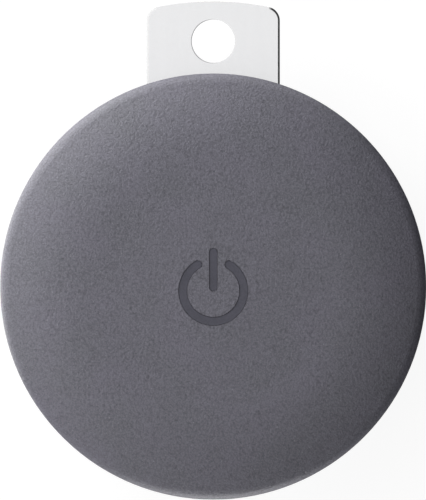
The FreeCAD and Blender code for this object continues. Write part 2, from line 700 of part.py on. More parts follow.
def electronics():
    chip("radio_chip", "4", "4", "0.75", "-5.2", "4.8")
    chip("radio_crystal", "2", "1.6", "0.5", "-9.2", "3.2")
    chip("clock_crystal", "1.5", "3.2", "0.6", "-2", "6.2")
    chip("chip_antenna", "5.2", "1.6", "0.45", "-3.2", "11.1")
    chip("boost_inductor", "3", "3", "0.85", "5.6", "4.4")
    chip("status_led", "1.6", "0.8", "0.5", "3.4", "0.6")
    driver_transistor()
    scattered("chip_capacitors", "1", "0.5", "0.45", [
        ("-8.6", "0.8", False), ("-6.9", "1.4", True), ("-5.6", "1.4", True),
        ("-4.3", "1.4", True), ("-5.2", "8", False), ("-7", "8", False),
        ("3.2", "7.6", False), ("5", "7.6", False), ("8.4", "3.6", True), ("8.4", "5.2", True),
    ])
    scattered("chip_resistors", "1", "0.5", "0.3", [
        ("-10.2", "-1.4", True), ("-9.2", "-1.4", True), ("-5.2", "-1.6", False),
        ("5.6", "-1.4", False), ("7.4", "-1.4", False), ("1.2", "9.6", True),
        ("2.2", "9.6", True), ("5.2", "1.6", False),
    ])


def tact_switch():
    board_top = "board_low + board_thick"
    base_top = f"{board_top} + switch_high"
    plate_top = f"{base_top} + switch_plate"
    well = f"{board_top} + switch_floor"
    sub_part("switch_base", cut(
        "switch_moulding",
        block("switch_block", "switch_side", "switch_side - 0.4", board_top, base_top),
        cylinder("switch_cavity", "switch_well", well, f"{base_top} + 1")))
    plate = block("plate_block", "switch_side", "switch_side - 0.4", base_top, plate_top)
    window = cylinder("plate_window", "stem_radius + 0.06", f"{base_top} - 1", f"{plate_top} + 1")
    sub_part("switch_frame", cut("switch_plate_cut", plate, window))
    stem = new_body("stem")
    revolve(stem, outline(stem, "stem_section", [
        ("0", f"{base_top} - 0.15"), ("stem_flange", f"{base_top} - 0.15"),
        ("stem_flange", f"{base_top} - 0.02"), ("stem_radius", f"{base_top} - 0.02"),
        ("stem_radius", "presser_level - fit_gap - 0.08"),
        ("stem_radius - 0.08", "presser_level - fit_gap"), ("0", "presser_level - fit_gap"),
    ]))
    sub_part("switch_stem", stem)
    # domed steel disc: a thin band of straight facets turned round the axis
    dome = new_body("dome")
    rim, thick = "switch_well - 0.1", 0.06
    rise = 0.2
    low = f"{well} + 0.02"
    under = [("0", f"{low} + {rise}"), ("0.45", f"{low} + {rise * 0.8}"), (rim, low)]
    over = [(rim, f"{low} + {thick}"), ("0.45", f"{low} + {rise * 0.8 + thick}"),
            ("0", f"{low} + {rise + thick}")]
    revolve(dome, outline(dome, "dome_section", under + over))
    sub_part("switch_dome", dome)


def battery_contacts():
    underside = "board_low"
    leaf = new_body("leaf")
    tip = "tab_low + tab_thick + fit_gap"
    thick = "0.15"
    section = outline(leaf, "leaf_section", [
        ("-8", f"{underside} - {thick}"), ("-4.8", f"{underside} - {thick}"), ("-0.3", tip),
        ("0.5", tip), ("1.6", f"{tip} + 0.25"), ("1.5", f"{tip} + 0.39"),
        ("0.4", f"{tip} + {thick}"), ("-0.3", f"{tip} + {thick}"), ("-4.7", underside),
        ("-8", underside),
    ], plane="YZ_Plane")
    pad(leaf, section, "2.4", both_sides=True)
    sub_part("negative_contact", leaf)
    clip = new_body("clip")
    section = outline(clip, "clip_section", [
        ("10.55", underside), ("10.55", "3.45"), ("cell_radius + fit_gap", "2.95"),
        ("10.35", "2.2"), ("10.53", "2.15"), ("cell_radius + fit_gap + 0.2", "2.93"),
        ("10.73", "3.38"), ("10.73", f"{underside} - 0.18"), ("13", f"{underside} - 0.18"),
        ("13", underside),
    ])
    pad(clip, section, "2.2", both_sides=True)
    sub_part("positive_contact", clip)


def piezo_fingers():
    """Two spring fingers that carry the signal from the board up to the sounder."""
    board_top = "board_low + board_thick"
    tip = "piezo_low - ceramic_thick - fit_gap"
    fingers = []
    for side in (-1, 1):
        body = new_body("finger_left" if side < 0 else "finger_right")
        section = outline(body, body.Name + "_section", [
            ("-9.4", board_top), ("-7.9", board_top), ("-6.2", f"{tip} - 0.12"), ("-5.6", tip),
            ("-5.9", f"{tip} - 0.02"), ("-6.3", f"{tip} - 0.02"), ("-8", f"{board_top} + 0.1"),
            ("-9.4", f"{board_top} + 0.1"),
        ], plane="YZ_Plane")
        pad(body, section, "0.9", both_sides=True)
        fingers.append(place(body, x=f"{side} * 1.8"))
    sub_part("piezo_fingers", group("finger_pair", fingers))


# ---------------------------------------------------------------- build, check and write
front_cap()
power_icon()
piezo_sounder()
mid_frame()
cap_spring_ring()
rear_cover()
rear_seal_ring()
cell_pad()
coin_cell()
pull_tab()
main_board()
sub_part("board_screws", group("screw_set", [board_screw(number) for number in range(3)]))
electronics()
tact_switch()
battery_contacts()
piezo_fingers()
doc.recompute()

failed = [thing.Name for thing in doc.Objects
          if "Invalid" in thing.State or "Error" in thing.State]
if failed:
    raise RuntimeError(f"these objects failed: {failed}")
for node, thing in sub_parts.items():
    shape = thing.Shape
    if shape.isNull() or not shape.isValid() or not shape.Solids or shape.Volume <= 0:
        raise RuntimeError(f"{node} has no valid solid")

os.makedirs("parts", exist_ok=True)
for node, thing in sub_parts.items():
    thing.Shape.exportStep(os.path.join("parts", node + ".step"))
    box = thing.Shape.BoundBox
    print(f"{node:20s} {len(thing.Shape.Solids):2d} solids {thing.Shape.Volume:9.3f} mm3 "
          f"z {box.ZMin:6.3f} to {box.ZMax:6.3f}  {box.XLength:.2f} x {box.YLength:.2f}")
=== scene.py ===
import math

import bmesh
import bpy
from mathutils import Matrix, Vector


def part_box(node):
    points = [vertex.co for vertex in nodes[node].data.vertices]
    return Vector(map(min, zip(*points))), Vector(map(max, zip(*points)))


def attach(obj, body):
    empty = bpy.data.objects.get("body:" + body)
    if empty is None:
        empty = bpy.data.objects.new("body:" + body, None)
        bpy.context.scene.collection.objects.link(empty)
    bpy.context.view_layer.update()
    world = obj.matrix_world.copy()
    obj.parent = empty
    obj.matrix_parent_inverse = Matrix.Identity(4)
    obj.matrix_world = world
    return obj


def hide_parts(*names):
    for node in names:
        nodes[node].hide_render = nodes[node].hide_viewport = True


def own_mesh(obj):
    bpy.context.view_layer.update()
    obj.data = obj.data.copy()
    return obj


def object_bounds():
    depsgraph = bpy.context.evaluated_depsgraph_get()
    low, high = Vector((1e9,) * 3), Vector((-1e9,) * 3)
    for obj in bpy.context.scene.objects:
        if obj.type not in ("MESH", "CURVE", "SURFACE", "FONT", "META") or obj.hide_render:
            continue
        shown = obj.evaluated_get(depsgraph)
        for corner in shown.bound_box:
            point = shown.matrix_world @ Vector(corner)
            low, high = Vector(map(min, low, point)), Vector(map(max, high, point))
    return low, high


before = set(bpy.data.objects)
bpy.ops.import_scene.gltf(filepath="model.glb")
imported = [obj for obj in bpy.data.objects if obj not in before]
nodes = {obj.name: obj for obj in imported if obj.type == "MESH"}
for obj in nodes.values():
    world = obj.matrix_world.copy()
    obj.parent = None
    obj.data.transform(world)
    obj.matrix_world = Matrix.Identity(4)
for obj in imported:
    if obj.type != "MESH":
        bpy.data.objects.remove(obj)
cad_box = [list(corner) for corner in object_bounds()]

MM = 0.001
GRAIN_SPREAD = 0.34                     # how far the grain's shades lie from the plastic's colour
HOLE_AT, HOLE_RADIUS = 20.78, 1.83      # the tab's hole, in millimetres: place along Y, radius
FINGER_AT = 1.8                         # how far each sounder finger lies from the middle
bpy.ops.object.select_all(action="DESELECT")


# ---------------------------------------------------------------- how a finish is made
class Field:
    """A number that changes over a surface. Arithmetic on it adds Math nodes."""

    def __init__(self, finish, socket):
        self.finish = finish
        self.socket = socket

    def maths(self, operation, *values):
        return self.finish.node("ShaderNodeMath", {"operation": operation},
                                dict(enumerate(values)))

    def __add__(self, other):
        return self.maths("ADD", self, other)

    def __sub__(self, other):
        return self.maths("SUBTRACT", self, other)

    def __rsub__(self, other):
        return self.maths("SUBTRACT", other, self)

    def __mul__(self, other):
        return self.maths("MULTIPLY", self, other)

    def __truediv__(self, other):
        return self.maths("DIVIDE", self, other)

    def __pow__(self, other):
        return self.maths("POWER", self, other)

    def __gt__(self, other):
        return self.maths("GREATER_THAN", self, other)

    def __lt__(self, other):
        return self.maths("LESS_THAN", self, other)

    def __abs__(self):
        return self.maths("ABSOLUTE", self)

    __radd__ = __add__
    __rmul__ = __mul__

    def out(self, name):
        """Another output of the same node."""
        return Field(self.finish, self.socket.node.outputs[name])


class Finish:
    """One procedural material. Patterns read the piece's own coordinates, in millimetres."""

    def __init__(self, name, **constants):
        self.material = bpy.data.materials.new(name)
        self.material.use_nodes = True
        self.tree = self.material.node_tree
        self.shader = self.tree.nodes["Principled BSDF"]
        for socket, value in constants.items():
            self.shader.inputs[socket.replace("_", " ")].default_value = value
        place = self.node("ShaderNodeTexCoord").out("Object")
        self.at = self.vector("SCALE", place, Scale=1 / MM)
        self.x = self.node("ShaderNodeSeparateXYZ", {}, {0: self.at})
        self.y, self.z = self.x.out("Y"), self.x.out("Z")

    def node(self, kind, settings=None, inputs=None, out=0):
        """Adds any node: its settings first, then the values or links of its sockets."""
        made = self.tree.nodes.new(kind)
        for name, value in (settings or {}).items():
            setattr(made, name, value)
        for name, value in (inputs or {}).items():
            self.join(made.inputs[name], value)
        return Field(self, made.outputs[out])

    def join(self, socket, value):
        if isinstance(value, Field):
            self.tree.links.new(value.socket, socket)
        elif socket.type == "RGBA":
            socket.default_value = (*value, 1)
        else:
            socket.default_value = value

    def vector(self, operation, *values, **more):
        return self.node("ShaderNodeVectorMath", {"operation": operation},
                         {**dict(enumerate(values)), **more})

    def radius(self, x=0, y=0):
        """Distance from an upright axis, in millimetres."""
        return ((self.x - x) ** 2 + (self.y - y) ** 2) ** 0.5

    def noise(self, size, detail=2.0, roughness=0.5, at=None):
        """Noise whose blotches are about size millimetres across, from 0 to 1."""
        return self.node("ShaderNodeTexNoise", {},
                         {"Vector": at or self.at, "Scale": 1 / size, "Detail": detail,
                          "Roughness": roughness})

    def cells(self, size, feature="F1", at=None):
        """Distance to the nearest of scattered points about size millimetres apart."""
        return self.node("ShaderNodeTexVoronoi", {"feature": feature},
                         {"Vector": at or self.at, "Scale": 1 / size})

    def stretch(self, value, low, high):
        """0 where the value is low or less, 1 where it is high or more."""
        return self.node("ShaderNodeMapRange", {"clamp": True},
                         {"Value": value, "From Min": low, "From Max": high})

    def tint(self, mask, low, high):
        """One colour where the mask is 0 and another where it is 1."""
        return self.node("ShaderNodeMix", {"data_type": "RGBA"},
                         {0: mask, 6: low, 7: high}, out=2)

    def wear(self, base, rough, height, depth):
        """Feeds the three patterns that every finish has. Relief depth is in millimetres."""
        self.join(self.shader.inputs["Base Color"], base)
        self.join(self.shader.inputs["Roughness"], rough)
        relief = self.node("ShaderNodeBump", {}, {"Height": height, "Distance": depth * MM})
        self.join(self.shader.inputs["Normal"], relief)
        return self.material


def shades(red, green, blue, spread=0.12):
    """A darker and a lighter neighbour of one colour."""
    return tuple(tuple(part * (1 + sign * spread) for part in (red, green, blue))
                 for sign in (-1, 1))


# ---------------------------------------------------------------- finishes
def grained_plastic(name, red, green, blue, relief=0.027):
    """Housing with the fine pebbled grain of a spark-eroded tool: pebbles whose creases are
    darkened with painted shade.
    """
    finish = Finish(name, IOR=1.5)
    drift = finish.noise(4.5, detail=2)
    wander = finish.vector("SCALE", finish.noise(0.3, detail=1).out("Color"), Scale=0.16)
    at = finish.vector("ADD", finish.at, wander)
    pebble_and_crease_shade = finish.cells(0.18, "SMOOTH_F1", at)
    speck = finish.noise(0.112, detail=2, roughness=0.6)
    spark = finish.cells(0.62) < 0.075
    # painted shade: the colour darkens in the creases between the pebbles; speck and drift are
    # random tone
    shade = finish.stretch(speck * 0.75 - pebble_and_crease_shade * 0.35 + drift * 0.12, 0.06, 0.42)
    dark, light = shades(red, green, blue, GRAIN_SPREAD)
    skin = finish.tint(shade, dark, light)
    hue = finish.tint(finish.stretch(drift, 0.3, 0.7), (0.992, 1.006, 0.99), (1.008, 0.996, 1.016))
    skin = finish.vector("MULTIPLY", skin, hue)
    skin = finish.tint(spark * 0.16, skin, (0.6, 0.6, 0.63))
    return finish.wear(skin, 0.44 + speck * 0.14 + drift * 0.08, speck - pebble_and_crease_shade, relief)


def icon_plastic():
    """Satin inlay: smoother and darker than the housing, with a faintly uneven tone."""
    finish = Finish("icon_plastic", IOR=1.5)
    fine = finish.noise(0.16, detail=2)
    drift = finish.noise(1.6)
    skin = finish.tint(finish.stretch(fine * 0.6 + drift * 0.4, 0.32, 0.68),
                       (0.0605, 0.0595, 0.078), (0.083, 0.0815, 0.1065))
    return finish.wear(skin, 0.40 + fine * 0.12, fine, 0.003)


def clear_film():
    """Clear polyester film with faint scuffs and flow lines."""
    finish = Finish("clear_film", IOR=1.55)
    lines = finish.noise(1.2, detail=3, at=finish.vector("MULTIPLY", finish.at, (1, 0.12, 1)))
    scuff = finish.noise(0.35, detail=5, roughness=0.7)
    finish.join(finish.shader.inputs["Alpha"], 0.12 + scuff * 0.035 + lines * 0.025)
    return finish.wear(finish.tint(lines, (0.33, 0.333, 0.375), (0.39, 0.393, 0.435)),
                       0.12 + scuff * 0.14, scuff * 0.3 + lines, 0.0008)


def film_edge():
    """Cut edge of the film: frosted, and dark with painted shade along its right side and round the
    hole's left.
    """
    finish = Finish("film_edge", IOR=1.55)
    nicks = finish.noise(0.25, detail=3)
    # painted shade: the edge turns dark and opaque towards its right side, which faces away from
    # the light
    painted_shade_right_edge = finish.stretch(finish.x, 4.6, 4.95)
    # painted shade on the left side of the hole's edge
    painted_shade_hole_left = (finish.radius(0, HOLE_AT) < HOLE_RADIUS + 0.27) * finish.stretch(finish.x, 0.6, -1.2)
    finish.join(finish.shader.inputs["Alpha"], 0.17 + painted_shade_right_edge * 0.70 + painted_shade_hole_left * 0.45)
    # light grey edge, near black where the painted shade lies
    skin = finish.tint(finish.stretch(painted_shade_right_edge + painted_shade_hole_left, 0, 1), (0.75, 0.75, 0.76),
                       (0.012, 0.012, 0.014))
    return finish.wear(skin, 0.22 + nicks * 0.2, nicks, 0.001)


def moulded(name, red, green, blue, grain=0.15, spread=0.15, rough=0.45, depth=0.003,
            **constants):
    """Smooth moulded or fired skin: cloudy colour, fine specks and a faintly uneven gloss."""
    finish = Finish(name, **constants)
    cloud = finish.noise(grain * 8, detail=4)
    fine = finish.noise(grain, detail=3, roughness=0.6)
    dark, light = shades(red, green, blue, spread)
    skin = finish.tint(finish.stretch(cloud * 0.5 + fine * 0.5, 0.35, 0.65), dark, light)
    return finish.wear(skin, rough - 0.08 + cloud * 0.08 + fine * 0.08, fine, depth)


def rubber(name, red, green, blue, rough=0.6, **constants):
    """Moulded rubber: matt, dusty in patches, with fine lines from the ground tool."""
    finish = Finish(name, IOR=1.43, **constants)
    dust = finish.noise(2.2, detail=5, roughness=0.65)
    lines = finish.noise(0.12, at=finish.vector("MULTIPLY", finish.at, (0.3, 0.3, 2.5)))
    dark, light = shades(red, green, blue, 0.16)
    skin = finish.tint(finish.stretch(dust * 0.7 + lines * 0.3, 0.35, 0.65), dark, light)
    return finish.wear(skin, rough + dust * 0.16, lines, 0.004)


def foam():
    """Open-cell foam: round hollows of two sizes, their bottoms darker with painted shade."""
    finish = Finish("foam", IOR=1.4)
    large, small = finish.cells(0.34), finish.cells(0.16)
    pore_depth_and_shade = finish.stretch(large * 0.6 + small * 0.5, 0.08, 0.5)
    drift = finish.noise(1.8, detail=3)
    # painted shade: the colour goes dark towards the bottom of each hollow
    skin = finish.tint(pore_depth_and_shade * 0.85 + drift * 0.15, (0.006, 0.006, 0.007), (0.075, 0.075, 0.08))
    return finish.wear(skin, 0.85 + drift * 0.1, pore_depth_and_shade, 0.06)


def metal(name, red, green, blue, rough=0.3, lines="turned", depth=0.0004, spread=0.10):
    """Bare metal: turned about its axis, rolled along one way, or blasted matt."""
    finish = Finish(name, Metallic=1.0)
    drawn_out = {"rolled": (1, 0.06, 1), "blasted": (1, 1, 1)}
    if lines == "turned":
        at = finish.node("ShaderNodeCombineXYZ", {}, {0: finish.radius(), 1: finish.z})
    else:
        at = finish.vector("MULTIPLY", finish.at, drawn_out[lines])
    marks = finish.noise(0.09, detail=4, roughness=0.65, at=at)
    stain = finish.noise(1.7, detail=5, roughness=0.6)
    dark, light = shades(red, green, blue, spread)
    skin = finish.tint(finish.stretch(marks * 0.55 + stain * 0.45, 0.3, 0.7), dark, light)
    return finish.wear(skin, rough - 0.1 + marks * 0.1 + finish.stretch(stain, 0.35, 0.7) * 0.12,
                       marks, depth)


def board_laminate():
    """Green solder mask over bundles of tracks, vias and ink outlines, with a bare glass edge."""
    finish = Finish("board_laminate", IOR=1.5)
    weave = finish.node("ShaderNodeTexWave", {"bands_direction": "X"},
                        {"Vector": finish.at, "Scale": 1.6, "Distortion": 0.4})
    patch = finish.node("ShaderNodeTexVoronoi", {"distance": "CHEBYCHEV"},
                        {"Vector": finish.at, "Scale": 1 / 5.5})
    chance = finish.node("ShaderNodeSeparateXYZ", {}, {0: patch.out("Color")})
    pitch, share = 0.5, 0.32
    along_x = finish.y.maths("FRACT", finish.y / pitch) < share
    along_y = finish.x.maths("FRACT", finish.x / pitch) < share
    tracks = along_x * (chance > 0.62) + along_y * (chance < 0.30)
    tracks = tracks * (patch < 0.36)
    point = finish.cells(2.3)
    via = (point < 0.09) * (point > 0.04)
    ink = None
    for node in ("radio_chip", "boost_inductor", "driver_transistor", "switch_base",
                 "clock_crystal", "radio_crystal", "chip_antenna"):
        low, high = (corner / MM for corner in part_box(node))
        middle, half = (low + high) / 2, (high - low) / 2
        out_x = abs(finish.x - middle.x) - half.x
        out_y = abs(finish.y - middle.y) - half.y
        line = abs(out_x.maths("MAXIMUM", out_x, out_y) - 0.3) < 0.06
        ink = line if ink is None else ink + line
    ink = finish.stretch(ink, 0, 1)
    rim = finish.radius() > 13.97
    drift = finish.noise(2.5, detail=4)
    mask = finish.tint(finish.stretch(drift, 0.3, 0.7),
                       (0.006, 0.045, 0.020), (0.010, 0.062, 0.028))
    mask = finish.tint(tracks, mask, (0.016, 0.092, 0.040))
    mask = finish.tint(ink * 0.85, mask, (0.62, 0.62, 0.58))
    mask = finish.tint(via, mask, (0.62, 0.45, 0.16))
    glass = finish.tint(weave, (0.28, 0.25, 0.12), (0.42, 0.38, 0.2))
    finish.join(finish.shader.inputs["Metallic"], via)
    return finish.wear(finish.tint(rim, mask, glass), 0.30 + drift * 0.1 + rim * 0.35,
                       tracks + via * 0.5 + ink * 0.4 + weave * rim * 0.4, 0.02)


def sounder_ceramic():
    """Fired ceramic disc with a burnished silver electrode inside a bare margin."""
    finish = Finish("piezo_ceramic", IOR=1.6)
    low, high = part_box("piezo_ceramic")
    middle = (low + high) / 2 / MM
    silver = finish.radius(middle.x, middle.y) < 3.45
    fine = finish.noise(0.12, detail=4)
    drift = finish.noise(1.1, detail=3)
    bare = finish.tint(fine, (0.55, 0.50, 0.40), (0.68, 0.63, 0.52))
    coat = finish.tint(finish.stretch(drift * 0.6 + fine * 0.4, 0.3, 0.7),
                       (0.62, 0.60, 0.56), (0.80, 0.79, 0.76))
    finish.join(finish.shader.inputs["Metallic"], silver)
    return finish.wear(finish.tint(silver, bare, coat), 0.38 + fine * 0.2, fine + silver, 0.004)


finishes = {
    "cap_plastic": grained_plastic("cap_plastic", 0.1225, 0.1195, 0.1435),
    "frame_plastic": grained_plastic("frame_plastic", 0.105, 0.103, 0.124, relief=0.02),
    "cover_plastic": grained_plastic("cover_plastic", 0.114, 0.112, 0.133, relief=0.02),
    "icon_plastic": icon_plastic(),
    "clear_film": clear_film(),
    "silicone": rubber("silicone", 0.42, 0.42, 0.43, rough=0.45, Subsurface_Weight=0.15,
                       Subsurface_Scale=0.4 * MM),
    "seal_rubber": rubber("seal_rubber", 0.018, 0.018, 0.020),
    "foam": foam(),
    "cell_steel": metal("cell_steel", 0.66, 0.65, 0.63, rough=0.34),
    "cell_gasket": moulded("cell_gasket", 0.30, 0.29, 0.27, rough=0.5),
    "cell_core": moulded("cell_core", 0.045, 0.045, 0.048, grain=0.08, rough=0.75, depth=0.01),
    "board_laminate": board_laminate(),
    "screw_steel": metal("screw_steel", 0.42, 0.41, 0.40, rough=0.3, lines="blasted"),
    "chip_black": moulded("chip_black", 0.022, 0.022, 0.024, grain=0.06, rough=0.5, depth=0.002),
    "crystal_metal": metal("crystal_metal", 0.70, 0.66, 0.56, rough=0.22, lines="rolled"),
    "antenna_ceramic": moulded("antenna_ceramic", 0.70, 0.72, 0.70, rough=0.35),
    "ferrite": moulded("ferrite", 0.040, 0.038, 0.038, grain=0.05, spread=0.35, rough=0.55,
                       depth=0.004),
    "led_resin": moulded("led_resin", 0.80, 0.76, 0.52, rough=0.2, Transmission_Weight=0.3),
    "capacitor_ceramic": moulded("capacitor_ceramic", 0.34, 0.21, 0.11, grain=0.08, rough=0.4),
    "resistor_black": moulded("resistor_black", 0.016, 0.016, 0.018, grain=0.05, rough=0.35),
    "switch_plastic": moulded("switch_plastic", 0.030, 0.030, 0.032, rough=0.5),
    "contact_steel": metal("contact_steel", 0.60, 0.59, 0.56, rough=0.28, lines="rolled"),
    "contact_gold": metal("contact_gold", 0.83, 0.61, 0.26, rough=0.24, lines="rolled"),
    "stem_plastic": moulded("stem_plastic", 0.62, 0.60, 0.55, rough=0.4),
    "piezo_brass": metal("piezo_brass", 0.72, 0.50, 0.20, rough=0.3, lines="rolled"),
    "piezo_ceramic": sounder_ceramic(),
    "glue": moulded("glue", 0.52, 0.40, 0.20, rough=0.3, Transmission_Weight=0.2),
}
tin = metal("tin", 0.66, 0.66, 0.64, rough=0.34, lines="blasted", depth=0.001)
for node in nodes.values():
    for place in node.material_slots:
        if place.material.name in finishes:
            place.material = finishes[place.material.name]


# ---------------------------------------------------------------- how a piece is made
def start(piece, name):
    """Names a new primitive, moves its place into its mesh and opens it for shaping."""
    piece.name = name
    bpy.ops.object.transform_apply(location=True, rotation=True, scale=True)
    bpy.ops.object.mode_set(mode="EDIT")
    return piece


def block(name, low, high):
    """A block between two corners, in millimetres, open for shaping."""
    bpy.ops.object.select_all(action="DESELECT")
    bpy.ops.mesh.primitive_cube_add(size=1, location=[(a + b) / 2 * MM for a, b in zip(low, high)],
                                    scale=[(b - a) * MM for a, b in zip(low, high)])
    return start(bpy.context.object, name)


def disc(name, radius, low, high, at=(0, 0), sides=96):
    """A round bar between two levels, in millimetres, open for shaping."""
    bpy.ops.object.select_all(action="DESELECT")
    bpy.ops.mesh.primitive_cylinder_add(vertices=sides, radius=radius * MM, depth=(high - low) * MM,
                                        location=(at[0] * MM, at[1] * MM, (low + high) / 2 * MM))
    return start(bpy.context.object, name)


def pick(kind, test):
    """Selects the faces, edges or verts whose middle, in millimetres, passes the test."""
    bpy.ops.mesh.select_mode(type={"faces": "FACE", "edges": "EDGE", "verts": "VERT"}[kind])
    bpy.ops.mesh.select_all(action="DESELECT")
    mesh = bpy.context.object.data
    shape = bmesh.from_edit_mesh(mesh)
    for item in getattr(shape, kind):
        corners = [item] if kind == "verts" else item.verts
        middle = sum((corner.co for corner in corners), Vector()) / len(corners) / MM
        if test(middle, item):
            item.select_set(True)
    bmesh.update_edit_mesh(mesh)


def upright(middle, edge):
    """True of an edge that runs along Z."""
    way = edge.verts[0].co - edge.verts[1].co
    return abs(way.z) > 0.99 * way.length


def sharp(middle, edge):
    """True of an edge whose two faces meet at more than 30 degrees."""
    return len(edge.link_faces) == 2 and edge.calc_face_angle() > math.radians(30)


def round_off(offset, segments=3):
    """Rounds the selected edges by offset millimetres."""
    bpy.ops.mesh.bevel(offset=offset * MM, segments=segments, affect="EDGES")


def shut(*materials):
    """Shuts the open piece and gives it its finishes. The first is everywhere but where painted."""
    piece = bpy.context.object
    bpy.ops.object.mode_set(mode="OBJECT")
    while len(piece.data.materials) < len(materials):
        piece.data.materials.append(None)
    for place, material in enumerate(materials):
        piece.data.materials[place] = material


def select_only(piece):
    """Leaves one shut piece selected and active."""
    bpy.ops.object.select_all(action="DESELECT")
    bpy.context.view_layer.objects.active = piece
    piece.select_set(True)


def cut(piece, tool):
    """Cuts a hole or a hollow of the tool's shape into a shut piece."""
    select_only(piece)
    step = piece.modifiers.new("cut", "BOOLEAN")
    step.object, step.operation, step.solver = tool, "DIFFERENCE", "EXACT"
    bpy.ops.object.modifier_apply(modifier=step.name)
    bpy.data.objects.remove(tool)


def reopen(piece):
    """Opens a shut piece for more shaping."""
    select_only(piece)
    bpy.ops.object.mode_set(mode="EDIT")


def paint_second(piece, test):
    """Gives the faces that pass the test the piece's second finish."""
    while len(piece.data.materials) < 2:
        piece.data.materials.append(None)
    pick("faces", test)
    piece.active_material_index = 1
    bpy.ops.object.material_slot_assign()


def complete(piece, body, slot, *stands_for, angle=35):
    """Smooths a shut piece, ties it to its body and hides the CAD nodes it stands for. Its slot is
    not used.
    """
    select_only(piece)
    bpy.ops.object.shade_smooth_by_angle(angle=math.radians(angle))
    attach(piece, body)
    if stands_for:
        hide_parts(*stands_for)
    piece.select_set(False)


def corners_of(node):
    """A node's low and high corners, in millimetres."""
    low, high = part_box(node)
    return low / MM, high / MM


def separate_boxes(node):
    """The low and high corners, in millimetres, of each separate solid in a CAD node."""
    shape = bmesh.new()
    shape.from_mesh(nodes[node].data)
    bmesh.ops.remove_doubles(shape, verts=shape.verts, dist=0.001 * MM)
    seen, boxes = set(), []
    for first in shape.verts:
        if first in seen:
            continue
        group, todo = [], [first]
        seen.add(first)
        while todo:
            corner = todo.pop()
            group.append(corner.co.copy())
            for edge in corner.link_edges:
                other = edge.other_vert(corner)
                if other not in seen:
                    seen.add(other)
                    todo.append(other)
        boxes.append(([min(p[i] for p in group) / MM for i in range(3)],
                      [max(p[i] for p in group) / MM for i in range(3)]))
    shape.free()
    return sorted(boxes)


def joined(name, pieces):
    """Makes one piece of several."""
    bpy.ops.object.select_all(action="DESELECT")
    for piece in pieces:
        piece.select_set(True)
    bpy.context.view_layer.objects.active = pieces[0]
    if len(pieces) > 1:
        bpy.ops.object.join()
    pieces[0].name = name
    return pieces[0]


def copied(pattern, places):
    """Copies of one piece, each with its own mesh, turned and moved. A place is (x, y, z, turn)."""
    copies = []
    for x, y, z, turn in places:
        copy = pattern.copy()
        copy.data = pattern.data.copy()
        copy.data.transform(Matrix.Translation((x * MM, y * MM, z * MM))
                            @ Matrix.Rotation(math.radians(turn), 4, "Z"))
        bpy.context.scene.collection.objects.link(copy)
        copies.append(copy)
    bpy.data.objects.remove(pattern)
    return copies


# ---------------------------------------------------------------- film, foam and springs
def pull_tab():
    """Film tab. It is shaped three times too thick, so its rounded edges come out wide and low."""
    low, high = corners_of("pull_tab")
    half, bow, corner, stretch = high.x, 23.5, 0.9, 3
    shoulder = high.y - corner - 0.01
    film = block("tab_film", (-half, low.y, low.z * stretch), (half, high.y, high.z * stretch))
    pick("edges", lambda m, e: upright(m, e) and m.y < low.y + 1)
    round_off(half - 0.01, 24)
    pick("edges", lambda m, e: upright(m, e) and m.y > high.y - 0.01)
    round_off(corner, 8)
    pick("edges", lambda m, e: m.y > high.y - 0.01 and abs(m.x) < 0.01)
    bpy.ops.mesh.subdivide(number_cuts=24)
    ends = bmesh.from_edit_mesh(film.data).verts
    for across in sorted({round(v.co.x / MM, 4) for v in ends if v.co.y / MM > shoulder}):
        pick("verts", lambda m, v: abs(m.x - across) < 0.0001 and m.y > shoulder)
        bpy.ops.transform.translate(value=(0, -across ** 2 / (2 * bow) * MM, 0))
    pick("edges", lambda m, e: sharp(m, e) and not upright(m, e))
    round_off(0.16, 4)
    shut()
    punch = disc("punch", HOLE_RADIUS, low.z * stretch - 1, high.z * stretch + 1,
                 at=(0, HOLE_AT))
    shut()
    cut(film, punch)
    reopen(film)
    pick("edges", lambda m, e: sharp(m, e) and not upright(m, e)
         and math.hypot(m.x, m.y - HOLE_AT) < HOLE_RADIUS + 0.02)
    round_off(0.05, 2)
    bpy.ops.mesh.select_all(action="SELECT")
    bpy.ops.transform.resize(value=(1, 1, 1 / stretch), center_override=(0, 0, 0))
    paint_second(film, lambda m, f: abs(f.normal.z) < 0.9999
                 and (abs(m.x) > half - corner - 0.04
                      or math.hypot(m.x, m.y - HOLE_AT) < HOLE_RADIUS + 0.1))
    shut(finishes["clear_film"], film_edge())
    complete(film, "pull_tab", "clear_film", "pull_tab")


def foam_disc():
    """Die-cut foam: it swells a little between its cut edge and where the cell presses it."""
    low, high = corners_of("cell_pad")
    pad = disc("foam_disc", high.x, low.z, high.z)
    pick("faces", lambda m, f: f.normal.z > 0.5)
    for step in (0.5, 1.2, 2.0):
        bpy.ops.mesh.inset(thickness=step * MM)
    pick("verts", lambda m, v: m.z > high.z - 0.01 and math.hypot(m.x, m.y) > high.x - 0.1)
    bpy.ops.transform.resize(value=(0.986, 0.986, 1), center_override=(0, 0, 0))
    bpy.ops.transform.translate(value=(0, 0, -0.05 * MM))
    pick("verts", lambda m, v: m.z > high.z - 0.01 and math.hypot(m.x, m.y) < high.x - 1)
    bpy.ops.transform.translate(value=(0, 0, -0.015 * MM))
    pick("edges", lambda m, e: math.hypot(m.x, m.y) > high.x - 0.2 and sharp(m, e)
         and not upright(m, e))
    round_off(0.05, 3)
    shut(finishes["foam"])
    complete(pad, "rear_cover", "foam", "cell_pad", angle=60)


